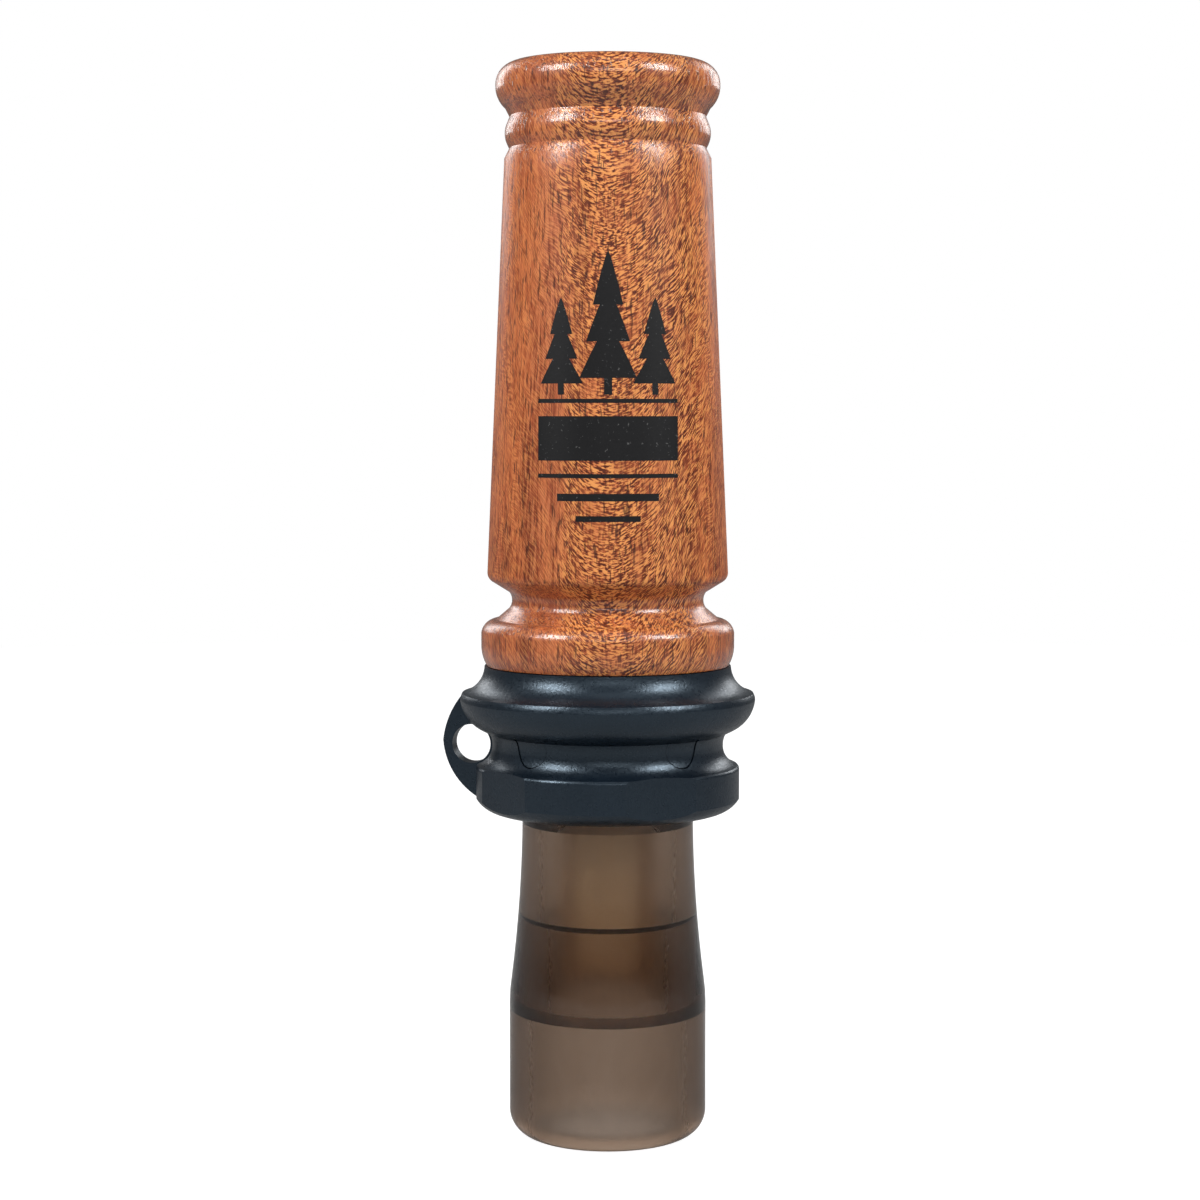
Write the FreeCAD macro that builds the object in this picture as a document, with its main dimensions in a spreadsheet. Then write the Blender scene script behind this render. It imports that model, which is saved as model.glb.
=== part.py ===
import FreeCAD, Part
import math
import os
import Sketcher

# Hand-held wooden deer call, in millimetres. The call's axis is Z: z = 0 is the mouth end of the
# mouthpiece and +Z runs up to the bell of the barrel. The lanyard eye stands out along -X.
# The mouthpiece slips into the collar, the barrel slips over the collar's tenon, and the reed
# insert sits in the mouthpiece.

DIMENSIONS = {
    # barrel, from the bell end down
    "bell_end": 135.6,
    "rim_face": 12.1,
    "rim_radius": 14.1,
    "rim_widest": 133.0,
    "rim_foot_radius": 12.9,
    "rim_foot": 130.1,
    "rim_round": 2.7,
    "rim_under_round": 3.6,
    "upper_groove_radius": 12.33,
    "upper_groove": 129.0,
    "bead_edge_radius": 12.6,
    "bead_top": 128.3,
    "bead_bottom": 125.5,
    "bead_round": 3.1,
    "lower_groove_radius": 12.38,
    "lower_groove": 125.05,
    "taper_small_radius": 13.0,
    "taper_top": 123.8,
    "taper_large_radius": 15.25,
    "taper_bottom": 71.9,
    "taper_corner_radius": 14.75,
    "taper_corner": 70.8,
    "corner_round": 1.3,
    "neck_radius": 12.5,
    "neck_top": 69.4,
    "neck_bottom": 67.3,
    "neck_round": 1.7,
    "foot_shoulder_radius": 14.1,
    "foot_shoulder": 65.95,
    "foot_radius": 16.05,
    "foot_widest": 64.2,
    "foot_round": 2.0,
    "foot_straight": 62.9,
    "foot_edge_radius": 15.4,
    "foot_under_round": 5.0,
    "barrel_foot": 60.1,
    "socket_radius": 10.65,
    "socket_end": 76.0,
    "tone_bore_radius": 7.0,
    "flare_start": 116.0,
    "flare_radius": 10.2,
    "flare_round": 42.0,
    "lip_edge": 134.6,
    "lip_face": 11.1,
    "lip_round": 1.0,
    # collar, from the mouth side up
    "collar_bottom": 41.4,
    "collar_bore": 12.5,
    "collar_bottom_face": 13.8,
    "ring_radius": 16.75,
    "ring_chamfer": 43.1,
    "ring_chamfer_round": 3.6,
    "ring_top": 46.9,
    "ring_shoulder_radius": 16.55,
    "ring_shoulder": 47.3,
    "ring_round": 0.6,
    "groove_radius": 14.68,
    "groove_middle": 50.0,
    "groove_round": 2.6,
    "groove_corner_radius": 15.1,
    "groove_top": 51.45,
    "under_bead_radius": 16.2,
    "under_bead": 52.0,
    "rib_radius": 18.75,
    "rib_widest": 55.7,
    "rib_round": 4.6,
    "rib_edge_radius": 18.5,
    "rib_edge": 56.55,
    "rib_edge_round": 1.7,
    "cove_radius": 15.65,
    "cove_round": 3.7,
    "collar_top": 60.0,
    "shoulder_bore": 10.4,
    "shoulder_seat": 58.5,
    "flat_distance": 16.07,
    "flat_width": 14.0,
    "flat_depth": 4.0,
    "flat_bottom": 40.4,
    "flat_top": 47.9,
    # lanyard eye
    "eye_thickness": 2.6,
    "eye_root": 14.0,
    "eye_top_radius": 18.3,
    "eye_top": 56.5,
    "eye_tip_radius": 21.2,
    "eye_tip": 50.2,
    "eye_upper_round": 11.0,
    "eye_base_radius": 16.75,
    "eye_base": 42.9,
    "eye_lower_round": 9.3,
    "hole_radius": 2.5,
    "hole_offset": 17.5,
    "hole_height": 49.75,
    # snap windows in the collar's groove
    "window_width": 4.7,
    "window_radius": 2.35,
    "window_round": 50.6,
    "window_top": 51.7,
    "window_root": 12.0,
    "window_reach": 15.7,
    "lug_gap": 0.12,
    # tenon sleeve
    "sleeve_bottom": 42.2,
    "spigot_socket": 11.0,
    "socket_ceiling": 52.3,
    "sleeve_bore": 8.5,
    "tenon_radius": 10.3,
    "tenon_end": 74.0,
    "tenon_chamfer": 0.8,
    "seal_groove_radius": 9.3,
    "seal_groove_half": 0.8,
    "lower_seal": 64.0,
    "upper_seal": 70.0,
    "tenon_seal_middle": 9.95,
    "tenon_seal_round": 0.65,
    # mouthpiece
    "mouth_face_inner": 10.2,
    "mouth_lip_face": 10.5,
    "mouth_corner": 3.0,
    "mouth_corner_round": 3.2,
    "mouth_radius": 12.55,
    "waist_start": 16.8,
    "waist_turn_radius": 12.3,
    "waist_turn": 20.0,
    "waist_upper_round": 20.7,
    "waist_lower_round": 172.0,
    "waist_end_radius": 10.87,
    "spigot_radius": 10.7,
    "spigot_start": 41.0,
    "spigot_end": 52.2,
    "spigot_chamfer": 0.6,
    "mouth_bore": 9.9,
    "mouth_bore_edge": 0.7,
    "band_bottom": 16.5,
    "band_bore": 7.6,
    "band_top": 27.0,
    "chamber_bore": 8.6,
    "insert_seat": 41.8,
    "seat_bore": 8.3,
    "spigot_seal": 47.0,
    "spigot_groove_radius": 9.75,
    "spigot_groove_half": 0.75,
    "spigot_seal_middle": 10.35,
    "spigot_seal_round": 0.6,
    # reed insert
    "plug_radius": 8.26,
    "plug_end": 55.5,
    "tongue_tip": 19.0,
    "tongue_radius": 6.1,
    "seat_face": 0.6,
    "tip_face": 0.5,
    "front_clear": 9.0,
    "trough_tip": 22.0,
    "trough_radius": 2.0,
    "trough_depth": 1.0,
    "exhaust_length": 40.0,
    "clamp_edge": 42.2,
    "slot_front": 4.3,
    "slot_width": 8.3,
    "slot_end": 50.5,
    "insert_seal": 53.0,
    "insert_groove_radius": 7.1,
    "insert_groove_half": 0.65,
    "insert_seal_middle": 7.68,
    "insert_seal_round": 0.55,
    "reed_width": 8.0,
    "reed_half": 4.0,
    "reed_corner": 1.2,
    "reed_thickness": 0.36,
    "reed_tip": 20.2,
    "reed_gap": 0.04,
    "root_end": 50.0,
    "wedge_thin": 3.9,
    "wedge_thick": 4.3,
}

FLAT_ANGLES = (134, 226, 304, 56)
WINDOW_ANGLES = (120, 240, 318, 42)

document = FreeCAD.newDocument("deer_call")
sheet = document.addObject("Spreadsheet::Sheet", "Dims")
for row, (alias, size) in enumerate(DIMENSIONS.items(), start=1):
    sheet.set(f"A{row}", alias.replace("_", " "))
    sheet.set(f"B{row}", str(size))
    sheet.setAlias(f"B{row}", alias)
document.recompute()


def value(text):
    """The number that a sum of sheet names and numbers stands for."""
    total, sign = 0.0, 1.0
    for word in text.split():
        if word in ("+", "-"):
            sign = 1.0 if word == "+" else -1.0
        else:
            total += sign * (DIMENSIONS[word] if word in DIMENSIONS else float(word))
    return total


def linked(text):
    """The same sum, written as an expression that reads the sheet."""
    return " ".join(f"Dims.{word}" if word in DIMENSIONS else word for word in text.split())


def bind(target, **sizes):
    """Tie each named property of an object to the sheet."""
    for name, text in sizes.items():
        target.setExpression(name, linked(text))


def new_body(label):
    body = document.addObject("PartDesign::Body", label)
    body.Label = label
    return body


def arc_between(start, end, radius, turn):
    """The short arc from start to end; turn is 1 anticlockwise or -1 clockwise."""
    chord = end - start
    side = FreeCAD.Vector(-chord.y, chord.x, 0).normalize() * turn
    height = math.sqrt(max(radius ** 2 - (chord.Length / 2) ** 2, 0.0))
    centre = (start + end) / 2 + side * height
    first, last = (start, end) if turn > 0 else (end, start)
    angles = [math.atan2(p.y - centre.y, p.x - centre.x) for p in (first, last)]
    if angles[1] < angles[0]:
        angles[1] += 2 * math.pi
    circle = Part.Circle(centre, FreeCAD.Vector(0, 0, 1), radius)
    return Part.ArcOfCircle(circle, angles[0], angles[1])


def outline(body, name, plane, points, lift=None):
    """A closed sketch whose corners and radii are all tied to the sheet.

    Each point is (x, y) for a straight edge that ends there, or (x, y, radius, turn) for an arc.
    """
    sketch = body.newObject("Sketcher::SketchObject", name)
    origin_plane = next(f for f in body.Origin.OriginFeatures if f.Role == plane)
    sketch.AttachmentSupport = (origin_plane, "")
    sketch.MapMode = "FlatFace"
    if lift:
        sketch.setExpression("AttachmentOffset.Base.z", linked(lift))
    corners = [FreeCAD.Vector(value(p[0]), value(p[1]), 0) for p in points]
    ends = []
    for index, point in enumerate(points):
        start, end = corners[index - 1], corners[index]
        if len(point) == 4:
            sketch.addGeometry(arc_between(start, end, value(point[2]), point[3]), False)
        else:
            sketch.addGeometry(Part.LineSegment(start, end), False)
        backward = len(point) == 4 and point[3] < 0
        ends.append((2, 1) if backward else (1, 2))
    for index, point in enumerate(points):
        after = (index + 1) % len(points)
        last = ends[index][1]
        sketch.addConstraint(Sketcher.Constraint("Coincident", index, last, after, ends[after][0]))
        for kind, axis, text in (("DistanceX", -2, point[0]), ("DistanceY", -1, point[1])):
            if value(text) == 0:
                sketch.addConstraint(Sketcher.Constraint("PointOnObject", index, last, axis))
            else:
                rule = Sketcher.Constraint(kind, -1, 1, index, last, value(text))
                number = sketch.addConstraint(rule)
                sketch.setExpression(f"Constraints[{number}]", linked(text))
        if len(point) == 4:
            rule = Sketcher.Constraint("Radius", index, value(point[2]))
            number = sketch.addConstraint(rule)
            sketch.setExpression(f"Constraints[{number}]", linked(point[2]))
    return sketch


def revolve(body, name, points):
    """Turn an outline in the XZ plane about the call's axis."""
    sketch = outline(body, name + "_outline", "XZ_Plane", points)
    feature = body.newObject("PartDesign::Revolution", name)
    feature.Profile = sketch
    feature.ReferenceAxis = (sketch, ["V_Axis"])
    feature.Angle = 360
    document.recompute()
    return feature


def extrude(kind, body, name, plane, points, length, symmetric=True, lift=None, reverse=False):
    """Add a Pad or cut a Pocket from an outline."""
    document.recompute()
    before = body.Shape.Volume if body.Tip else 0.0
    sketch = outline(body, name + "_outline", plane, points, lift)
    feature = body.newObject(f"PartDesign::{kind}", name)
    feature.Profile = sketch
    feature.Midplane = symmetric
    feature.Reversed = reverse
    feature.setExpression("Length", linked(length))
    document.recompute()
    if abs(body.Shape.Volume - before) < 0.01:
        raise RuntimeError(f"{name} changes nothing")
    return feature


def rectangle(left, bottom, right, top):
    return [(left, bottom), (right, bottom), (right, top), (left, top)]


def collar_outline(inset):
    """The collar's outside from bottom to top, a little smaller when inset is not 0."""
    return [
        (f"collar_bottom_face - {inset}", "collar_bottom"),
        (f"ring_radius - {inset}", "ring_chamfer", "ring_chamfer_round", 1),
        (f"ring_radius - {inset}", "ring_top"),
        (f"ring_shoulder_radius - {inset}", "ring_shoulder", "ring_round", 1),
        (f"groove_radius - {inset}", "groove_middle", "groove_round", -1),
        (f"groove_corner_radius - {inset}", "groove_top", "groove_round", -1),
        (f"under_bead_radius - {inset}", "under_bead"),
        (f"rib_radius - {inset}", "rib_widest", "rib_round", 1),
        (f"rib_edge_radius - {inset}", "rib_edge", "rib_edge_round", 1),
        (f"cove_radius - {inset}", "collar_top", "cove_round", -1),
    ]


def make_barrel():
    body = new_body("barrel")
    revolve(body, "barrel_turning", [
        ("socket_radius", "barrel_foot"),
        ("foot_edge_radius", "barrel_foot"),
        ("foot_radius", "foot_straight", "foot_under_round", 1),
        ("foot_radius", "foot_widest"),
        ("foot_shoulder_radius", "foot_shoulder", "foot_round", 1),
        ("neck_radius", "neck_bottom"),
        ("neck_radius", "neck_top", "neck_round", -1),
        ("taper_corner_radius", "taper_corner"),
        ("taper_large_radius", "taper_bottom", "corner_round", 1),
        ("taper_small_radius", "taper_top"),
        ("lower_groove_radius", "lower_groove"),
        ("bead_edge_radius", "bead_bottom"),
        ("bead_edge_radius", "bead_top", "bead_round", 1),
        ("upper_groove_radius", "upper_groove"),
        ("rim_foot_radius", "rim_foot"),
        ("rim_radius", "rim_widest", "rim_under_round", 1),
        ("rim_face", "bell_end", "rim_round", 1),
        ("lip_face", "bell_end"),
        ("flare_radius", "lip_edge", "lip_round", 1),
        ("tone_bore_radius", "flare_start", "flare_round", 1),
        ("tone_bore_radius", "socket_end"),
        ("socket_radius", "socket_end"),
    ])
    return body


def make_mouthpiece():
    body = new_body("mouthpiece")
    half = "spigot_groove_half"
    revolve(body, "mouthpiece_tube", [
        ("mouth_face_inner", "0"),
        ("mouth_lip_face", "0"),
        ("mouth_radius", "mouth_corner", "mouth_corner_round", 1),
        ("mouth_radius", "waist_start"),
        ("waist_turn_radius", "waist_turn", "waist_upper_round", 1),
        ("waist_end_radius", "spigot_start", "waist_lower_round", -1),
        ("spigot_radius", "spigot_start + 0.3"),
        ("spigot_radius", f"spigot_seal - {half}"),
        ("spigot_groove_radius", f"spigot_seal - {half}"),
        ("spigot_groove_radius", f"spigot_seal + {half}"),
        ("spigot_radius", f"spigot_seal + {half}"),
        ("spigot_radius", "spigot_end - spigot_chamfer"),
        ("spigot_radius - spigot_chamfer", "spigot_end"),
        ("seat_bore", "spigot_end"),
        ("seat_bore", "insert_seat"),
        ("chamber_bore - 0.8", "insert_seat"),
        ("chamber_bore - 0.8", "insert_seat - 1.2"),
        ("chamber_bore", "insert_seat - 2.2"),
        ("chamber_bore", "band_top + 0.8"),
        ("band_bore", "band_top"),
        ("band_bore", "band_bottom"),
        ("mouth_bore", "band_bottom - 1.0"),
        ("mouth_bore", "mouth_bore_edge"),
    ])
    return body


def ring_seal(label, middle, thickness, height):
    """A round rubber ring, as a torus lying in its groove."""
    ring = document.addObject("Part::Torus", label)
    ring.Label = label
    bind(ring, Radius1=middle, Radius2=thickness)
    ring.setExpression("Placement.Base.z", linked(height))
    return ring


def placed_box(name, angle, near, far, width, bottom, top):
    """A box that reaches outward from the axis, turned by an angle in degrees about Z."""
    box = document.addObject("Part::Box", name)
    bind(box, Length=f"{far} - {near}", Width=width, Height=f"{top} - {bottom}")
    box.Placement.Rotation = FreeCAD.Rotation(FreeCAD.Vector(0, 0, 1), angle)
    near_edge, half_width = linked(near), f"({linked(width)}) / 2"
    turn = f"{angle} deg"
    along = f"({near_edge}) * cos({turn}) + {half_width} * sin({turn})"
    across = f"({near_edge}) * sin({turn}) - {half_width} * cos({turn})"
    box.setExpression("Placement.Base.x", along)
    box.setExpression("Placement.Base.y", across)
    box.setExpression("Placement.Base.z", linked(bottom))
    return box


def radial_pin(name, angle, near, far, radius, height):
    """A cylinder that lies along a radius of the call."""
    pin = document.addObject("Part::Cylinder", name)
    bind(pin, Radius=radius, Height=f"{far} - {near}")
    tip_over = FreeCAD.Rotation(FreeCAD.Vector(0, 1, 0), 90)
    pin.Placement.Rotation = FreeCAD.Rotation(FreeCAD.Vector(0, 0, 1), angle).multiply(tip_over)
    pin.setExpression("Placement.Base.x", f"({linked(near)}) * cos({angle} deg)")
    pin.setExpression("Placement.Base.y", f"({linked(near)}) * sin({angle} deg)")
    pin.setExpression("Placement.Base.z", linked(height))
    return pin


def united(name, shapes):
    union = document.addObject("Part::MultiFuse", name)
    union.Shapes = shapes
    return union


def round_bottomed_blocks(name, shrink):
    """Four blocks with round bottoms, one per snap window, smaller all round by shrink."""
    pieces = []
    for number, angle in enumerate(WINDOW_ANGLES, start=1):
        width = f"window_width - {shrink} - {shrink}"
        near, far = "window_root", f"window_reach - {shrink}"
        top = f"window_top - {shrink}"
        label = f"{name}_{number}"
        pieces.append(placed_box(label + "_block", angle, near, far, width, "window_round", top))
        radius = f"window_radius - {shrink}"
        pieces.append(radial_pin(label + "_round", angle, near, far, radius, "window_round"))
    return united(name, pieces)


def make_collar():
    body = new_body("collar_moulding")
    inside = [
        ("shoulder_bore", "collar_top"),
        ("shoulder_bore", "shoulder_seat"),
        ("collar_bore", "shoulder_seat"),
        ("collar_bore", "collar_bottom"),
    ]
    revolve(body, "collar_ring", collar_outline("0") + inside)
    extrude("Pad", body, "lanyard_eye", "XZ_Plane", [
        ("0 - eye_root", "eye_base"),
        ("0 - eye_root", "eye_top"),
        ("0 - eye_top_radius", "eye_top"),
        ("0 - eye_tip_radius", "eye_tip", "eye_upper_round", 1),
        ("0 - eye_base_radius", "eye_base", "eye_lower_round", 1),
    ], "eye_thickness")
    hole = body.newObject("Sketcher::SketchObject", "lanyard_hole_outline")
    front = next(f for f in body.Origin.OriginFeatures if f.Role == "XZ_Plane")
    hole.AttachmentSupport = (front, "")
    hole.MapMode = "FlatFace"
    middle = FreeCAD.Vector(-value("hole_offset"), value("hole_height"), 0)
    hole.addGeometry(Part.Circle(middle, FreeCAD.Vector(0, 0, 1), value("hole_radius")), False)
    hole.addConstraint(Sketcher.Constraint("DistanceX", -1, 1, 0, 3, middle.x))
    hole.addConstraint(Sketcher.Constraint("DistanceY", -1, 1, 0, 3, middle.y))
    hole.addConstraint(Sketcher.Constraint("Radius", 0, value("hole_radius")))
    hole.setExpression("Constraints[0]", "-Dims.hole_offset")
    hole.setExpression("Constraints[1]", "Dims.hole_height")
    hole.setExpression("Constraints[2]", "Dims.hole_radius")
    document.recompute()
    before = body.Shape.Volume
    pocket = body.newObject("PartDesign::Pocket", "lanyard_hole")
    pocket.Profile = hole
    pocket.Midplane = True
    pocket.setExpression("Length", "Dims.eye_thickness * 8")
    document.recompute()
    if before - body.Shape.Volume < 1.0:
        raise RuntimeError("the lanyard hole cuts nothing")
    cutters = []
    for number, angle in enumerate(FLAT_ANGLES, start=1):
        far = "flat_distance + flat_depth"
        cutters.append(placed_box(f"flat_{number}", angle, "flat_distance", far, "flat_width",
                                  "flat_bottom", "flat_top"))
    cutters.append(round_bottomed_blocks("snap_windows", "0"))
    collar = document.addObject("Part::Cut", "collar")
    collar.Label = "collar"
    collar.Base = body
    collar.Tool = united("collar_cutters", cutters)
    return collar


def make_tenon_sleeve():
    """Spigot socket and barrel tenon in one tube, with four lugs that snap into the collar."""
    body = new_body("sleeve_tube")
    half = "seal_groove_half"
    grooves = []
    for seal in ("lower_seal", "upper_seal"):
        grooves += [
            ("tenon_radius", f"{seal} - {half}"),
            ("seal_groove_radius", f"{seal} - {half}"),
            ("seal_groove_radius", f"{seal} + {half}"),
            ("tenon_radius", f"{seal} + {half}"),
        ]
    revolve(body, "sleeve_turning", [
        ("spigot_socket", "sleeve_bottom"),
        ("collar_bore", "sleeve_bottom"),
        ("collar_bore", "shoulder_seat"),
        ("tenon_radius", "shoulder_seat"),
    ] + grooves + [
        ("tenon_radius", "tenon_end - tenon_chamfer"),
        ("tenon_radius - tenon_chamfer", "tenon_end"),
        ("sleeve_bore", "tenon_end"),
        ("sleeve_bore", "socket_ceiling"),
        ("spigot_socket", "socket_ceiling"),
    ])
    envelope = new_body("lug_envelope")
    inside = [("window_root", "collar_top"), ("window_root", "collar_bottom")]
    revolve(envelope, "lug_envelope_ring", collar_outline("lug_gap") + inside)
    lugs = document.addObject("Part::MultiCommon", "snap_lugs")
    lugs.Shapes = [envelope, round_bottomed_blocks("lug_blocks", "lug_gap")]
    sleeve = united("tenon_sleeve", [body, lugs])
    sleeve.Label = "tenon_sleeve"
    return sleeve


def make_tone_board():
    """Plug and tongue in one piece, with a sloped reed seat, a trough and an exhaust hole."""
    body = new_body("tone_board")
    half = "insert_groove_half"
    revolve(body, "board_turning", [
        ("0", "tongue_tip"),
        ("tongue_radius - 0.8", "tongue_tip"),
        ("tongue_radius", "tongue_tip + 0.8"),
        ("tongue_radius", "insert_seat"),
        ("plug_radius", "insert_seat"),
        ("plug_radius", f"insert_seal - {half}"),
        ("insert_groove_radius", f"insert_seal - {half}"),
        ("insert_groove_radius", f"insert_seal + {half}"),
        ("plug_radius", f"insert_seal + {half}"),
        ("plug_radius", "plug_end"),
        ("0", "plug_end"),
    ])
    extrude("Pocket", body, "reed_seat", "YZ_Plane", [
        ("0 - front_clear", "tongue_tip - 1"),
        ("tip_face", "tongue_tip - 1"),
        ("0 - seat_face", "clamp_edge"),
        ("0 - front_clear", "clamp_edge"),
    ], "front_clear + front_clear")
    extrude("Pocket", body, "wedge_slot", "YZ_Plane",
            rectangle("0 - slot_front", "clamp_edge - 0.5", "0 - seat_face", "slot_end"),
            "slot_width")
    extrude("Pocket", body, "trough", "YZ_Plane",
            rectangle("0 - front_clear", "trough_tip", "trough_depth", "clamp_edge"),
            "trough_radius + trough_radius")
    bore = document.addObject("Part::Cylinder", "exhaust_bore")
    bind(bore, Radius="trough_radius", Height="exhaust_length")
    bore.setExpression("Placement.Base.y", "Dims.trough_depth")
    bore.setExpression("Placement.Base.z", "Dims.trough_tip")
    body.Label = "board_blank"
    board = document.addObject("Part::Cut", "board")
    board.Label = "tone_board"
    board.Base = body
    board.Tool = bore
    return board


def make_reed_tongue():
    """The free length of the reed, a flat strip with clipped tip corners."""
    body = new_body("reed_tongue")
    lift = "seat_face + reed_gap"
    extrude("Pad", body, "reed_strip", "XZ_Plane", [
        ("reed_half - reed_corner", "reed_tip"),
        ("reed_half", "reed_tip + reed_corner"),
        ("reed_half", "clamp_edge - 0.05"),
        ("0 - reed_half", "clamp_edge - 0.05"),
        ("0 - reed_half", "reed_tip + reed_corner"),
        ("reed_corner - reed_half", "reed_tip"),
    ], "reed_thickness", symmetric=False, lift=lift)
    return body


def make_reed_root():
    """The clamped end of the same reed."""
    root = document.addObject("Part::Box", "reed_root")
    root.Label = "reed_root"
    bind(root, Length="reed_width", Width="reed_thickness", Height="root_end - clamp_edge")
    root.setExpression("Placement.Base.x", "-Dims.reed_half")
    root.setExpression("Placement.Base.y", "-Dims.seat_face - Dims.reed_thickness")
    root.setExpression("Placement.Base.z", "Dims.clamp_edge")
    return root


def make_reed_wedge():
    """The block that is pushed into the slot to hold the reed down."""
    body = new_body("reed_wedge")
    back = "0 - seat_face - reed_thickness"
    extrude("Pad", body, "wedge_block", "YZ_Plane", [
        ("0 - wedge_thick", "clamp_edge"),
        (back, "clamp_edge"),
        (back, "root_end"),
        ("0 - wedge_thin", "root_end"),
    ], "reed_width")
    return body


pieces = {
    "barrel": make_barrel(),
    "collar": make_collar(),
    "tenon_sleeve": make_tenon_sleeve(),
    "tenon_oring_upper": ring_seal("tenon_oring_upper", "tenon_seal_middle", "tenon_seal_round",
                                   "upper_seal"),
    "tenon_oring_lower": ring_seal("tenon_oring_lower", "tenon_seal_middle", "tenon_seal_round",
                                   "lower_seal"),
    "mouthpiece": make_mouthpiece(),
    "mouthpiece_oring": ring_seal("mouthpiece_oring", "spigot_seal_middle", "spigot_seal_round",
                                  "spigot_seal"),
    "tone_board": make_tone_board(),
    "insert_oring": ring_seal("insert_oring", "insert_seal_middle", "insert_seal_round",
                              "insert_seal"),
    "reed_tongue": make_reed_tongue(),
    "reed_root": make_reed_root(),
    "reed_wedge": make_reed_wedge(),
}
document.recompute()

for item in document.Objects:
    if "Invalid" in item.State or "Error" in item.State:
        raise RuntimeError(f"{item.Name} failed: {item.State}")
for node, piece in pieces.items():
    if piece.Shape.isNull() or not piece.Shape.isValid():
        raise RuntimeError(f"{node} has no valid shape")

os.makedirs("parts", exist_ok=True)
for node, piece in pieces.items():
    piece.Shape.exportStep(f"parts/{node}.step")
    size = piece.Shape.BoundBox
    print(f"{node}: {len(piece.Shape.Solids)} solid, {piece.Shape.Volume:.0f} mm3, "
          f"z {size.ZMin:.2f} to {size.ZMax:.2f}")
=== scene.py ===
import math
from types import SimpleNamespace

import bmesh
import bpy
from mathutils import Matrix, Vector


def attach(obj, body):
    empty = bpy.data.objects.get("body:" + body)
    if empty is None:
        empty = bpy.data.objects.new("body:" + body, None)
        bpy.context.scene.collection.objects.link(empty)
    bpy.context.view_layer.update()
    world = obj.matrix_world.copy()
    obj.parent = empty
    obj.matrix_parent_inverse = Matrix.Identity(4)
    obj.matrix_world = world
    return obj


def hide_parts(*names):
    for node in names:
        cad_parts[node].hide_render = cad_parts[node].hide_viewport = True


# The looks of a wooden deer call that stands on its mouthpiece: turned barrel on top, black
# collar with a lanyard eye in the middle, smoked mouthpiece below. Lengths are in metres,
# except in the outlines and the print, which are in millimetres and say so.

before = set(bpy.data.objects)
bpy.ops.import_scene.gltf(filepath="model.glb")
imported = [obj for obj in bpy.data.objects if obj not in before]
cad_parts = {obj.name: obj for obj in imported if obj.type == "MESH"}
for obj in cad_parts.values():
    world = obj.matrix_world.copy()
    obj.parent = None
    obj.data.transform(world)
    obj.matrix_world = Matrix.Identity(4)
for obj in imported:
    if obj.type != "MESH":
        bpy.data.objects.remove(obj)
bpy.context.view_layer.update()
scene = bpy.context.scene

MM = 0.001
VIEW_TURN = math.radians(10)      # the camera stands 10 degrees round from -Y towards +X


# ---------------------------------------------------------------- node helpers

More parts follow.
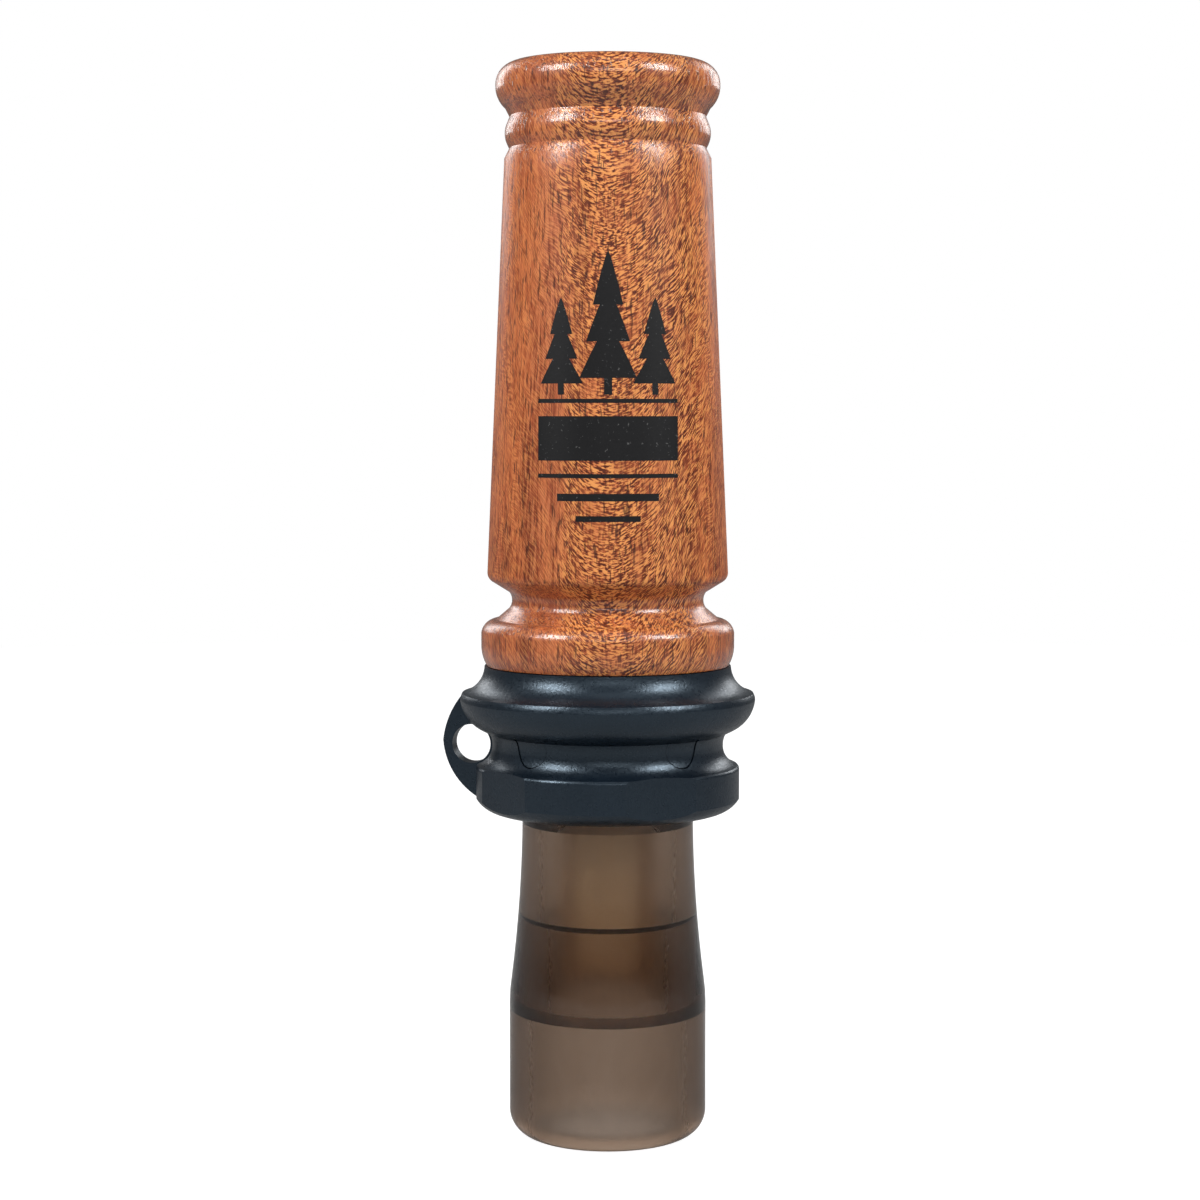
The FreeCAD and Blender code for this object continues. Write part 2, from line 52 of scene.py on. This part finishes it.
class Nodes:
    """Short names for building one material's node tree."""

    def __init__(self, name):
        self.material = bpy.data.materials.new(name)
        self.material.use_nodes = True
        self.tree = self.material.node_tree
        self.shader = next(n for n in self.tree.nodes if n.type == "BSDF_PRINCIPLED")
        self.output = next(n for n in self.tree.nodes if n.type == "OUTPUT_MATERIAL")

    def put(self, target, value):
        """Link a socket, or set a plain number or colour."""
        if isinstance(value, bpy.types.NodeSocket):
            self.tree.links.new(value, target)
        elif value is not None:
            target.default_value = value

    def set(self, **sockets):
        """Set the shader's own sockets; an underscore stands for a space."""
        for name, value in sockets.items():
            self.put(self.shader.inputs[name.replace("_", " ")], value)

    def object_point(self):
        return self.tree.nodes.new("ShaderNodeTexCoord").outputs["Object"]

    def split(self, vector):
        node = self.tree.nodes.new("ShaderNodeSeparateXYZ")
        self.put(node.inputs[0], vector)
        return node.outputs

    def join(self, x, y, z):
        node = self.tree.nodes.new("ShaderNodeCombineXYZ")
        for socket, value in zip(node.inputs, (x, y, z)):
            self.put(socket, value)
        return node.outputs[0]

    def math(self, operation, first, second=None):
        node = self.tree.nodes.new("ShaderNodeMath")
        node.operation = operation
        for socket, value in zip(node.inputs, (first, second)):
            self.put(socket, value)
        return node.outputs[0]

    def scaled(self, vector, x, y, z):
        node = self.tree.nodes.new("ShaderNodeVectorMath")
        node.operation = "MULTIPLY"
        self.put(node.inputs[0], vector)
        node.inputs[1].default_value = (x, y, z)
        return node.outputs[0]

    def noise(self, vector, scale=1.0, detail=2.0, roughness=0.5, distortion=0.0):
        node = self.tree.nodes.new("ShaderNodeTexNoise")
        self.put(node.inputs["Vector"], vector)
        for name, value in (("Scale", scale), ("Detail", detail), ("Roughness", roughness),
                            ("Distortion", distortion)):
            node.inputs[name].default_value = value
        return node.outputs["Fac"]

    def grain(self, parts, rates, detail, roughness=0.5):
        """Noise of three coordinates, each with its own fineness in cycles per metre."""
        fine = [self.math("MULTIPLY", part, rate) for part, rate in zip(parts, rates)]
        return self.noise(self.join(*fine), 1.0, detail, roughness)

    def cells(self, vector, scale):
        node = self.tree.nodes.new("ShaderNodeTexVoronoi")
        self.put(node.inputs["Vector"], vector)
        node.inputs["Scale"].default_value = scale
        return node.outputs["Distance"]

    def band(self, value, low, high, out_low=0.0, out_high=1.0):
        """Stretch the range low..high over out_low..out_high, clamped and smooth."""
        node = self.tree.nodes.new("ShaderNodeMapRange")
        node.interpolation_type = "SMOOTHSTEP"
        for socket, number in zip(list(node.inputs)[:5], (value, low, high, out_low, out_high)):
            self.put(socket, number)
        return node.outputs[0]

    def ramp(self, value, *stops):
        """Colour by value; each stop is (position, (r, g, b))."""
        node = self.tree.nodes.new("ShaderNodeValToRGB")
        self.put(node.inputs[0], value)
        elements = node.color_ramp.elements
        while len(elements) < len(stops):
            elements.new(0.5)
        for element, (position, colour) in zip(elements, stops):
            element.position = position
            element.color = (*colour, 1)
        return node.outputs[0]

    def mix(self, factor, first, second):
        """Blend two colours, each a socket or (r, g, b)."""
        node = self.tree.nodes.new("ShaderNodeMix")
        node.data_type = "RGBA"
        self.put(node.inputs["Factor"], factor)
        for socket, value in ((node.inputs[6], first), (node.inputs[7], second)):
            self.put(socket, (*value, 1) if isinstance(value, tuple) else value)
        return node.outputs[2]

    def bump(self, height, strength, distance):
        node = self.tree.nodes.new("ShaderNodeBump")
        node.inputs["Strength"].default_value = strength
        node.inputs["Distance"].default_value = distance
        self.put(node.inputs["Height"], height)
        return node.outputs[0]


# ---------------------------------------------------------------- materials

def turned_wood():
    """Lacquered reddish hardwood: a rippled golden figure with a painted sheen at the front,
    beside straight dark-pored ribbons.
    """
    middle_red = (0.43, 0.090, 0.027)
    ribbon_dark, ribbon_light = (0.24, 0.044, 0.013), (0.62, 0.165, 0.050)
    thread_dark, thread_light = (0.13, 0.024, 0.008), (0.70, 0.215, 0.072)
    # The golden and dark flecks hold painted sheen and painted shade as well as the wood's own
    # colour.
    fleck_dark_and_shade, fleck_gold_and_sheen = (0.10, 0.017, 0.005), (0.86, 0.345, 0.095)
    pore_black = (0.045, 0.009, 0.004)
    arch = 105.0                   # how strongly the ripples bend up towards the sides
    wander_reach = 0.005
    taper_start, taper_end, taper_fade = 0.0685, 0.1225, 0.003

    n = Nodes("turned_wood")
    x, y, z = n.split(n.object_point())
    across = n.math("ADD", n.math("MULTIPLY", x, math.cos(VIEW_TURN)),
                    n.math("MULTIPLY", y, math.sin(VIEW_TURN)))
    depth = n.math("SUBTRACT", n.math("MULTIPLY", y, math.cos(VIEW_TURN)),
                   n.math("MULTIPLY", x, math.sin(VIEW_TURN)))
    wander = n.noise(n.join(across, depth, n.math("MULTIPLY", z, 0.4)), 110)
    shifted = n.math("ADD", across,
                     n.math("MULTIPLY", n.math("SUBTRACT", wander, 0.5), wander_reach))
    curve = n.math("MULTIPLY", n.math("POWER", n.math("ABSOLUTE", shifted), 2.0), arch)
    level = n.math("SUBTRACT", z, curve)

    flecks = n.grain((shifted, depth, level), (1650, 1200, 4600), 2)
    patches = n.grain((shifted, depth, level), (330, 330, 210), 2)
    ribbons = n.grain((shifted, depth, z), (560, 300, 14), 3, 0.6)
    threads = n.grain((shifted, depth, z), (4300, 4300, 190), 2, 0.6)
    pores = n.grain((x, y, z), (3600, 3600, 430), 1)
    pore_mask = n.band(pores, 0.60, 0.69)

    body = n.ramp(ribbons, (0.34, ribbon_dark), (0.5, middle_red), (0.66, ribbon_light))
    body = n.mix(n.band(threads, 0.45, 0.62, 0.0, 0.6), body, thread_light)
    body = n.mix(n.band(threads, 0.45, 0.34, 0.0, 0.65), body, thread_dark)
    # The golden figure is partly the wood's own and partly a painted sheen, with painted shade
    # in its dark ripples. It is strongest at the front, facing the camera, and fades to the left
    # and the right of it.
    sheen_left_fade = n.band(shifted, -0.0072, -0.0050, 0.34, 1.0)
    sheen_right_fade = n.band(shifted, 0.0095, 0.0135, 1.0, 0.35)
    figure_and_sheen = n.math("MULTIPLY", n.math("MULTIPLY", sheen_left_fade, sheen_right_fade),
                     n.band(patches, 0.32, 0.56, 0.45, 1.0))
    gold = n.mix(n.math("MULTIPLY", n.band(flecks, 0.50, 0.57), figure_and_sheen), body, fleck_gold_and_sheen)
    rippled = n.mix(n.math("MULTIPLY", n.band(flecks, 0.48, 0.42), figure_and_sheen), gold, fleck_dark_and_shade)
    colour = n.mix(n.math("MULTIPLY", pore_mask, 0.75), rippled, pore_black)

    height = n.math("SUBTRACT", n.math("MULTIPLY", threads, 0.35), pore_mask)
    # The lacquer is thick and glossy on the beads and rings, and thin on the long taper.
    on_taper = n.math("MULTIPLY", n.band(z, taper_start, taper_start + taper_fade),
                      n.band(z, taper_end + taper_fade, taper_end))
    n.set(Base_Color=colour, Roughness=n.band(threads, 0.3, 0.7, 0.36, 0.52),
          Normal=n.bump(height, 0.35, 0.00006), Coat_Roughness=0.10,
          Coat_Weight=n.math("SUBTRACT", 1.0, n.math("MULTIPLY", on_taper, 0.88)),
          Coat_Normal=n.bump(n.math("ADD", pore_mask, threads), 0.5, 0.00008),
          Specular_IOR_Level=0.40)
    return n.material


def black_moulding():
    """Black plastic with the fine spark texture of its mould."""
    deep, pale = (0.0020, 0.0050, 0.0100), (0.0040, 0.0085, 0.0150)
    n = Nodes("black_moulding")
    point = n.object_point()
    spark = n.noise(point, 3000, 2, 0.65)
    cloud = n.noise(point, 160, 3, 0.55)
    n.set(Base_Color=n.ramp(cloud, (0.3, deep), (0.7, pale)),
          Roughness=n.band(spark, 0.3, 0.7, 0.27, 0.40), Normal=n.bump(spark, 0.5, 0.00006),
          Specular_IOR_Level=0.85, Specular_Tint=(0.66, 0.84, 1.0, 1))
    return n.material


def smoked_plastic():
    """Smoked clear plastic: glossy outside, hazy in the bore, darker where it is thick."""
    smoke_colour, smoke_per_metre = (0.44, 0.31, 0.20, 1), 375
    hazy_within, clear_beyond = 0.0100, 0.0105
    n = Nodes("smoked_plastic")
    point = n.object_point()
    x, y, _ = n.split(point)
    radius = n.math("SQRT", n.math("ADD", n.math("MULTIPLY", x, x), n.math("MULTIPLY", y, y)))
    flow = n.noise(n.scaled(point, 90, 90, 60), 1.0, 3, 0.5, 1.6)
    orange_peel = n.noise(n.scaled(point, 1500, 1500, 800), 1.0, 3, 0.55)
    bore_haze = n.band(radius, hazy_within, clear_beyond, 0.34, 0.0)
    n.set(Base_Color=n.ramp(flow, (0.3, (0.84, 0.77, 0.70)), (0.7, (0.95, 0.89, 0.83))),
          Roughness=n.math("ADD", n.band(flow, 0.3, 0.7, 0.05, 0.12), bore_haze),
          Normal=n.bump(orange_peel, 0.22, 0.00008), Transmission_Weight=1.0, IOR=1.49)
    smoke = n.tree.nodes.new("ShaderNodeVolumeAbsorption")
    smoke.inputs["Color"].default_value = smoke_colour
    smoke.inputs["Density"].default_value = smoke_per_metre
    n.tree.links.new(smoke.outputs[0], n.output.inputs["Volume"])
    return n.material


def amber_plastic():
    """Translucent amber moulding of the tone board."""
    n = Nodes("amber_plastic")
    point = n.object_point()
    cloud = n.noise(point, 260, 3, 0.6)
    n.set(Base_Color=n.ramp(cloud, (0.3, (0.86, 0.66, 0.43)), (0.7, (0.97, 0.80, 0.58))),
          Roughness=n.band(cloud, 0.3, 0.7, 0.24, 0.34),
          Normal=n.bump(n.noise(point, 2400), 0.15, 0.00004), Transmission_Weight=0.2, IOR=1.49)
    return n.material


def reed_film():
    """Frosted polyester film with a faint drawn direction."""
    n = Nodes("reed_film")
    drawn = n.noise(n.scaled(n.object_point(), 5200, 5200, 240), 1.0, 2, 0.6)
    n.set(Base_Color=n.ramp(drawn, (0.3, (0.90, 0.77, 0.56)), (0.7, (0.99, 0.90, 0.71))),
          Roughness=n.band(drawn, 0.3, 0.7, 0.28, 0.42), Normal=n.bump(drawn, 0.12, 0.00003))
    return n.material


def wedge_cork():
    """Dense cork with dark flecks."""
    n = Nodes("wedge_cork")
    point = n.object_point()
    grains = n.cells(point, 1100)
    flecks = n.noise(point, 1500)
    colour = n.ramp(grains, (0.1, (0.50, 0.32, 0.17)), (0.7, (0.30, 0.17, 0.085)))
    colour = n.mix(n.band(flecks, 0.6, 0.7), colour, (0.09, 0.045, 0.02))
    n.set(Base_Color=colour, Roughness=0.85, Normal=n.bump(grains, 0.5, 0.0002))
    return n.material


def seal_rubber():
    """Black rubber with a faint bloom."""
    n = Nodes("seal_rubber")
    bloom = n.noise(n.object_point(), 700, 3)
    n.set(Base_Color=n.ramp(bloom, (0.3, (0.012, 0.012, 0.012)), (0.75, (0.030, 0.030, 0.031))),
          Roughness=n.band(bloom, 0.3, 0.7, 0.42, 0.6), Normal=n.bump(bloom, 0.1, 0.00005))
    return n.material


def pad_ink():
    """Black pad-printed ink with grey specks, where it covers thinly."""
    n = Nodes("pad_ink")
    specks = n.noise(n.object_point(), 2600, 2, 0.6)
    n.set(Base_Color=n.ramp(specks, (0.66, (0.006, 0.006, 0.007)), (0.74, (0.10, 0.10, 0.10))),
          Roughness=0.42, Normal=n.bump(specks, 0.3, 0.00004), Specular_IOR_Level=0.35)
    return n.material


FLOOR_GLOW = 0.9
FLOOR_THROUGH_CLEAR = 0.32        # share of the glow that shows through clear plastic


def pale_floor():
    """Matt floor that looks white but throws little light up at the call."""
    n = Nodes("pale_floor")
    shade = n.noise(n.object_point(), 3)
    path = n.tree.nodes.new("ShaderNodeLightPath")
    through = n.math("MULTIPLY", path.outputs["Is Transmission Ray"], FLOOR_THROUGH_CLEAR)
    seen = n.math("MAXIMUM", path.outputs["Is Camera Ray"], through)
    n.set(Base_Color=n.ramp(shade, (0.3, (0.34, 0.34, 0.34)), (0.7, (0.36, 0.36, 0.36))),
          Roughness=0.9, Specular_IOR_Level=0.1, Emission_Color=(1, 1, 1, 1),
          Emission_Strength=n.math("MULTIPLY", seen, FLOOR_GLOW))
    return n.material


NODE_MATERIALS = {
    "barrel": turned_wood,
    "collar": black_moulding,
    "tenon_sleeve": black_moulding,
    "tenon_oring_upper": seal_rubber,
    "tenon_oring_lower": seal_rubber,
    "mouthpiece": smoked_plastic,
    "mouthpiece_oring": seal_rubber,
    "tone_board": amber_plastic,
    "insert_oring": seal_rubber,
    "reed_tongue": reed_film,
    "reed_root": reed_film,
    "reed_wedge": wedge_cork,
}


def dress(piece, material):
    piece.data.materials.clear()
    piece.data.materials.append(material)


made = {}
for node_name, recipe in NODE_MATERIALS.items():
    if recipe not in made:
        made[recipe] = recipe()
    dress(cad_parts[node_name], made[recipe])


# ---------------------------------------------------------------- turned pieces

# Radii and heights in millimetres, the same as those of the CAD pieces that they replace.

BARREL = SimpleNamespace(
    bell_end=135.6, rim_face=12.1, rim_radius=14.1, rim_widest=133.0, rim_foot_radius=12.9,
    rim_foot=130.1, rim_round=2.7, rim_under_round=3.6, upper_groove_radius=12.33,
    upper_groove=129.0, bead_edge_radius=12.6, bead_top=128.3, bead_bottom=125.5, bead_round=3.1,
    lower_groove_radius=12.38, lower_groove=125.05, taper_small_radius=13.0, taper_top=123.8,
    taper_large_radius=15.25, taper_bottom=71.9, taper_corner_radius=14.75, taper_corner=70.8,
    corner_round=1.3, neck_radius=12.5, neck_top=69.4, neck_bottom=67.3, neck_round=1.7,
    foot_shoulder_radius=14.1, foot_shoulder=65.95, foot_radius=16.05, foot_widest=64.2,
    foot_round=2.0, foot_straight=62.9, foot_edge_radius=15.4, foot_under_round=5.0, foot=60.1,
    socket_radius=10.65, socket_end=76.0, tone_bore_radius=7.0, flare_start=116.0,
    flare_radius=10.2, flare_round=42.0, lip_edge=134.6, lip_face=11.1, lip_round=1.0)

TUBE = SimpleNamespace(
    face_inner=10.2, lip_face=10.5, corner=3.0, corner_round=3.2, radius=12.55, waist_start=16.8,
    waist_turn_radius=12.3, waist_turn=20.0, waist_upper_round=20.7, waist_lower_round=172.0,
    waist_end_radius=10.87, spigot_radius=10.7, spigot_start=41.0, spigot_edge=41.3,
    groove_radius=9.75, groove_bottom=46.25, groove_top=47.75, spigot_chamfer_start=51.6,
    spigot_end_radius=10.1, spigot_end=52.2, seat_bore=8.3, seat=41.8, lead_bore=7.8, lead=40.6,
    chamber_bore=8.6, chamber_top=39.6, chamber_bottom=27.8, band_bore=7.6, band_top=27.0,
    band_bottom=16.5, recess_bore=9.9, recess_top=15.5, recess_edge=0.7)

CONVEX = 1                        # an arc that bulges out of the material
HOLLOW = -1

AROUND = 256
ARC_STEP = math.radians(7)
STRAIGHT_STEP = 3.0
SHARP_EDGE = math.radians(24)


def barrel_outline(b):
    """Corners (radius, height) up the outside and down the bore; an arc's end says its round."""
    return [
        (b.socket_radius, b.foot),
        (b.foot_edge_radius, b.foot),
        (b.foot_radius, b.foot_straight, b.foot_under_round, CONVEX),
        (b.foot_radius, b.foot_widest),
        (b.foot_shoulder_radius, b.foot_shoulder, b.foot_round, CONVEX),
        (b.neck_radius, b.neck_bottom),
        (b.neck_radius, b.neck_top, b.neck_round, HOLLOW),
        (b.taper_corner_radius, b.taper_corner),
        (b.taper_large_radius, b.taper_bottom, b.corner_round, CONVEX),
        (b.taper_small_radius, b.taper_top),
        (b.lower_groove_radius, b.lower_groove),
        (b.bead_edge_radius, b.bead_bottom),
        (b.bead_edge_radius, b.bead_top, b.bead_round, CONVEX),
        (b.upper_groove_radius, b.upper_groove),
        (b.rim_foot_radius, b.rim_foot),
        (b.rim_radius, b.rim_widest, b.rim_under_round, CONVEX),
        (b.rim_face, b.bell_end, b.rim_round, CONVEX),
        (b.lip_face, b.bell_end),
        (b.flare_radius, b.lip_edge, b.lip_round, CONVEX),
        (b.tone_bore_radius, b.flare_start, b.flare_round, CONVEX),
        (b.tone_bore_radius, b.socket_end),
        (b.socket_radius, b.socket_end),
    ]


def tube_outline(t):
    """The mouthpiece's corners, in the same form."""
    return [
        (t.face_inner, 0.0),
        (t.lip_face, 0.0),
        (t.radius, t.corner, t.corner_round, CONVEX),
        (t.radius, t.waist_start),
        (t.waist_turn_radius, t.waist_turn, t.waist_upper_round, CONVEX),
        (t.waist_end_radius, t.spigot_start, t.waist_lower_round, HOLLOW),
        (t.spigot_radius, t.spigot_edge),
        (t.spigot_radius, t.groove_bottom),
        (t.groove_radius, t.groove_bottom),
        (t.groove_radius, t.groove_top),
        (t.spigot_radius, t.groove_top),
        (t.spigot_radius, t.spigot_chamfer_start),
        (t.spigot_end_radius, t.spigot_end),
        (t.seat_bore, t.spigot_end),
        (t.seat_bore, t.seat),
        (t.lead_bore, t.seat),
        (t.lead_bore, t.lead),
        (t.chamber_bore, t.chamber_top),
        (t.chamber_bore, t.chamber_bottom),
        (t.band_bore, t.band_top),
        (t.band_bore, t.band_bottom),
        (t.recess_bore, t.recess_top),
        (t.recess_bore, t.recess_edge),
    ]


def arc_points(start, end, radius, turn):
    """Points after start, up to and with end, on the short arc."""
    chord = end - start
    side = Vector((-chord.y, chord.x)).normalized() * turn
    centre = (start + end) / 2 + side * math.sqrt(max(radius ** 2 - chord.length ** 2 / 4, 0))
    first = math.atan2(start.y - centre.y, start.x - centre.x)
    sweep = 2 * math.asin(min(chord.length / 2 / radius, 1)) * turn
    steps = max(2, math.ceil(abs(sweep) / ARC_STEP), math.ceil(chord.length / STRAIGHT_STEP))
    angles = [first + sweep * step / steps for step in range(1, steps + 1)]
    return [centre + radius * Vector((math.cos(a), math.sin(a))) for a in angles]


def smooth_outline(corners):
    """Turn corners and arcs into a row of points, in millimetres."""
    points = []
    for index, corner in enumerate(corners):
        start, end = Vector(corners[index - 1][:2]), Vector(corner[:2])
        if len(corner) == 4:
            points += arc_points(start, end, corner[2], corner[3])
        else:
            steps = max(1, math.ceil((end - start).length / STRAIGHT_STEP))
            points += [start.lerp(end, step / steps) for step in range(1, steps + 1)]
    return points


def as_object(name, mesh):
    data = bpy.data.meshes.new(name)
    mesh.to_mesh(data)
    mesh.free()
    piece = bpy.data.objects.new(name, data)
    scene.collection.objects.link(piece)
    return piece


def lathe(name, corners):
    """A closed ring-shaped mesh turned about Z from an outline in millimetres."""
    points = smooth_outline(corners)
    mesh = bmesh.new()
    rings = []
    for turn in range(AROUND):
        angle = 2 * math.pi * turn / AROUND
        rings.append([mesh.verts.new((p.x * MM * math.cos(angle), p.x * MM * math.sin(angle),
                                      p.y * MM)) for p in points])
    for turn in range(AROUND):
        here, there = rings[turn - 1], rings[turn]
        for index in range(len(points)):
            after = (index + 1) % len(points)
            face = mesh.faces.new((here[index], there[index], there[after], here[after]))
            face.smooth = True
    bmesh.ops.recalc_face_normals(mesh, faces=mesh.faces)
    for edge in mesh.edges:
        if edge.is_manifold and edge.calc_face_angle() > SHARP_EDGE:
            edge.smooth = False
    return as_object(name, mesh)


turned_barrel = lathe("turned_barrel", barrel_outline(BARREL))
dress(turned_barrel, made[turned_wood])
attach(turned_barrel, "barrel_body")
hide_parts("barrel")

mouth_tube = lathe("mouth_tube", tube_outline(TUBE))
dress(mouth_tube, made[smoked_plastic])
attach(mouth_tube, "mouthpiece_body")
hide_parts("mouthpiece")


# ---------------------------------------------------------------- print

# Millimetres across and up the barrel. The ink stands a little proud and is sunk in the wood.

TAPER_TOP = Vector((BARREL.taper_small_radius, BARREL.taper_top))
TAPER_BOTTOM = Vector((BARREL.taper_large_radius, BARREL.taper_bottom))
INK_PROUD = 0.02
INK_SUNK = 0.03
ROW_STEP = 0.8
COLUMN_STEP = 0.6

TREE_FOOT = 94.2
TREES = ((-5.9, 11.5, 5.6), (0.0, 17.0, 7.0), (5.9, 11.5, 5.6))       # across, tall, wide
TIERS = 3
TIER_STEPS = 8
TIER_OVERLAP = 0.7                # tier heights that the overlaps are taken to save
TIER_RISE = 0.68                  # from one tier to the next, of a tier's height
TIER_NARROWING = 0.24
TIER_CURVE = 0.85
TIP_HALF = 0.03
TRUNK_SHARE = 0.12                # of the tree's height
TRUNK_HALF = 0.07                 # of the tree's width
TRUNK_SUNK = 0.02

BARS = ((9.1, 93.2, 93.7), (9.1, 86.2, 91.6), (9.1, 84.1, 84.6),      # half width, bottom, top
        (6.4, 81.3, 82.2), (4.0, 78.8, 79.5))


def on_barrel(across, height, lift):
    """A point of the print wrapped round the taper, in metres."""
    share = (height - TAPER_BOTTOM.y) / (TAPER_TOP.y - TAPER_BOTTOM.y)
    radius = TAPER_BOTTOM.x + share * (TAPER_TOP.x - TAPER_BOTTOM.x)
    angle = VIEW_TURN + across / radius
    out = (radius + lift) * MM
    return out * math.sin(angle), -out * math.cos(angle), height * MM


def ink_patch(mesh, rows, columns):
    """A thin closed sheet; rows are ((left, z), (right, z)) ends, from bottom to top."""
    layers = []
    for lift in (INK_PROUD, -INK_SUNK):
        grid = []
        for left, right in rows:
            line = [(left[0] + (right[0] - left[0]) * c / columns,
                     left[1] + (right[1] - left[1]) * c / columns) for c in range(columns + 1)]
            grid.append([mesh.verts.new(on_barrel(u, v, lift)) for u, v in line])
        layers.append(grid)
    top, under = layers
    for r in range(len(rows) - 1):
        for c in range(columns):
            for grid in layers:
                mesh.faces.new((grid[r][c], grid[r][c + 1], grid[r + 1][c + 1], grid[r + 1][c]))
        for c in (0, columns):
            mesh.faces.new((top[r][c], top[r + 1][c], under[r + 1][c], under[r][c]))
    for r in (0, len(rows) - 1):
        for c in range(columns):
            mesh.faces.new((top[r][c], top[r][c + 1], under[r][c + 1], under[r][c]))


def ink_bar(mesh, left, bottom, right, top):
    rows = max(1, math.ceil((top - bottom) / ROW_STEP))
    heights = [bottom + (top - bottom) * r / rows for r in range(rows + 1)]
    columns = max(1, math.ceil((right - left) / COLUMN_STEP))
    ink_patch(mesh, [((left, h), (right, h)) for h in heights], columns)


def ink_tree(mesh, across, tall, wide):
    """A plain conifer of three tiers on a short trunk."""
    trunk = TRUNK_SHARE * tall
    ink_bar(mesh, across - TRUNK_HALF * wide, TREE_FOOT,
            across + TRUNK_HALF * wide, TREE_FOOT + trunk)
    tier = (tall - trunk) / (TIERS - TIER_OVERLAP)
    for number in range(TIERS):
        low = TREE_FOOT + trunk - TRUNK_SUNK + number * tier * TIER_RISE
        half = wide / 2 * (1 - TIER_NARROWING * number)
        rows = []
        for step in range(TIER_STEPS + 1):
            share = step / TIER_STEPS
            reach = half * (1 - share) ** TIER_CURVE + TIP_HALF
            height = low + tier * share
            rows.append(((across - reach, height), (across + reach, height)))
        ink_patch(mesh, rows, TIER_STEPS)


def print_motif():
    """Three conifers on a bar between two rules, with two shorter rules below."""
    mesh = bmesh.new()
    for across, tall, wide in TREES:
        ink_tree(mesh, across, tall, wide)
    for half, bottom, top in BARS:
        ink_bar(mesh, -half, bottom, half, top)
    bmesh.ops.recalc_face_normals(mesh, faces=mesh.faces)
    return as_object("printed_motif", mesh)


motif = print_motif()
dress(motif, pad_ink())
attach(motif, "barrel_body")


# ---------------------------------------------------------------- stage

FLOOR_RADIUS = 0.75

# The world's strength by the kind of ray that meets it; all others see a strength of 1.
WORLD_BY_RAY = (("Is Diffuse Ray", 0.28), ("Is Glossy Ray", 0.13), ("Is Transmission Ray", 1.0))

# Turn in degrees round from the camera, positive to the right; height, distance, width and
# tallness in metres; power in watts.
SOFTBOXES = (
    ("left_softbox", -58, 0.38, 0.42, 0.15, 0.22, 1.75),
    ("right_softbox", 58, 0.38, 0.42, 0.15, 0.22, 1.75),
    ("front_softbox", 4, 0.34, 0.7, 0.5, 0.12, 0.55),
    ("top_softbox", 10, 0.9, 0.30, 0.5, 0.4, 0.35),
    ("back_left_softbox", -146, 0.30, 0.6, 0.20, 0.30, 0.6),
    ("back_right_softbox", 146, 0.30, 0.6, 0.20, 0.30, 0.6),
)
AIM = Vector((0, 0, 0.075))


def area_light(name, turn, height, distance, width, tall, power):
    """A softbox that faces the middle of the call."""
    data = bpy.data.lights.new(name, "AREA")
    data.shape = "RECTANGLE"
    data.size = width
    data.size_y = tall
    data.energy = power
    lamp = bpy.data.objects.new(name, data)
    scene.collection.objects.link(lamp)
    angle = VIEW_TURN + math.radians(turn)
    lamp.location = (distance * math.sin(angle), -distance * math.cos(angle), height)
    lamp.rotation_euler = (AIM - lamp.location).to_track_quat("-Z", "Y").to_euler()


def studio_world():
    world = bpy.data.worlds.new("studio")
    scene.world = world
    world.use_nodes = True
    tree = world.node_tree
    background = tree.nodes["Background"]
    background.inputs[0].default_value = (1, 1, 1, 1)
    path = tree.nodes.new("ShaderNodeLightPath")
    strength = background.inputs[1]
    for ray, seen in WORLD_BY_RAY:
        blend = tree.nodes.new("ShaderNodeMix")
        blend.inputs["A"].default_value = 1.0
        blend.inputs["B"].default_value = seen
        tree.links.new(path.outputs[ray], blend.inputs["Factor"])
        if strength.is_linked:
            tree.links.new(strength.links[0].from_socket, blend.inputs["A"])
        tree.links.new(blend.outputs["Result"], strength)


def stage():
    bpy.ops.mesh.primitive_circle_add(vertices=96, radius=FLOOR_RADIUS, fill_type="NGON")
    floor = bpy.context.object
    floor.name = "floor"
    dress(floor, pale_floor())
    studio_world()
    for softbox in SOFTBOXES:
        area_light(*softbox)


def camera():
    """The viewpoint: VIEW_TURN round from the front, looking slightly down."""
    distance, aside, height = 0.342, -0.00098, 0.09197
    look_down = 3.96
    data = bpy.data.cameras.new("camera")
    data.lens = 81
    data.sensor_width = 36
    data.clip_start = 0.01
    shot = bpy.data.objects.new("camera", data)
    scene.collection.objects.link(shot)
    sine, cosine = math.sin(VIEW_TURN), math.cos(VIEW_TURN)
    shot.location = (distance * sine + aside * cosine, -distance * cosine + aside * sine, height)
    shot.rotation_euler = (math.radians(90 - look_down), 0, VIEW_TURN)
    scene.camera = shot


stage()
camera()
scene.view_settings.view_transform = "Standard"
